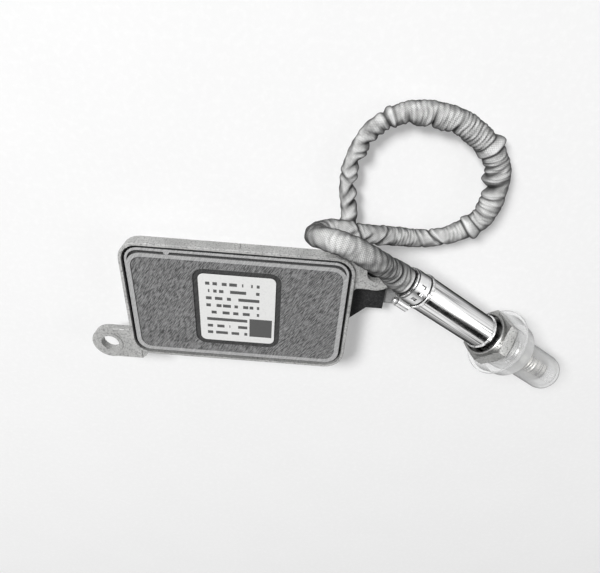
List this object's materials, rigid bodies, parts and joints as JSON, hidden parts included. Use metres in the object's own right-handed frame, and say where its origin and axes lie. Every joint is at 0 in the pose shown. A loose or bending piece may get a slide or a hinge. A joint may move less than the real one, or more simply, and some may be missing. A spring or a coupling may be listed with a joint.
{
  "type": "nitrogen oxide sensor",
  "caption": "Flat control box with mounting ears, a sleeved cable looped beside it, and a steel exhaust probe with a swivel nut under a pale transport cap; it measures nitrogen oxides.",
  "frame": {"origin": "middle of the control box's flat back", "axes": "+X along the box towards its connector, +Y towards its cable entry, +Z out of the back through the lid"},
  "size_m": [0.2243, 0.1287, 0.0397],
  "materials": {
    "cast_aluminium": "as cast, fine stipple",
    "dark_lid_plastic": "matt",
    "black_sealant": "matt",
    "label_film": "satin film",
    "board_laminate": "satin",
    "chip_resin": "matt",
    "ferrite": "matt",
    "can_aluminium": "bright",
    "screw_steel": "plated",
    "connector_plastic": "matt",
    "collar_plastic": "satin",
    "tinned_brass": "tinned",
    "black_rubber": "matt",
    "wire_coating": "satin",
    "sleeve_textile": "woven, crinkled",
    "band_steel": "rolled strip",
    "tube_steel": "drawn, bright",
    "nut_steel": "turned",
    "shell_steel": "drawn",
    "ceramic": "fired",
    "packed_powder": "pressed powder",
    "cap_plastic": "translucent, satin"
  },
  "bodies": {
    "sensor": {"housing_base": "cast_aluminium", "housing_lid": "dark_lid_plastic", "lid_seal": "black_sealant", "label": "label_film", "circuit_board": "board_laminate", "board_screw_1": "screw_steel", "board_screw_2": "screw_steel", "board_screw_3": "screw_steel", "board_screw_4": "screw_steel", "processor_chip": "chip_resin", "heater_driver": "chip_resin", "choke_coil": "ferrite", "capacitor_left": "can_aluminium", "capacitor_right": "can_aluminium", "connector_housing": "connector_plastic", "connector_collar": "collar_plastic", "connector_pin_1": "tinned_brass", "connector_pin_2": "tinned_brass", "connector_pin_3": "tinned_brass", "connector_pin_4": "tinned_brass", "connector_pin_5": "tinned_brass", "cable_grommet": "black_rubber", "sensor_wires": "wire_coating", "cable_sleeve": "sleeve_textile", "cable_seal": "black_rubber", "clamp_band": "band_steel", "clamp_pin": "screw_steel", "probe_sleeve": "tube_steel", "probe_body": "tube_steel", "contact_holder": "ceramic", "rear_ceramic": "ceramic", "powder_seal": "packed_powder", "front_ceramic": "ceramic", "sensor_element": "ceramic", "inner_protection_tube": "shell_steel", "outer_protection_tube": "shell_steel"},
    "nut": {"swivel_nut": "nut_steel"},
    "cap": {"transport_cap": "cap_plastic"}
  },
  "joints": [
    {"name": "nut_turn", "type": "hinge", "parent": "sensor", "child": "nut", "pos_m": [0.071, 0.0254, 0.02066], "axis": [0.8376, -0.5408, -0.0765], "continuous": true},
    {"name": "cap_slide", "type": "slide", "parent": "nut", "child": "cap", "axis": [0.8376, -0.5408, -0.0765], "range_m": [0, 0.04]}
  ]
}
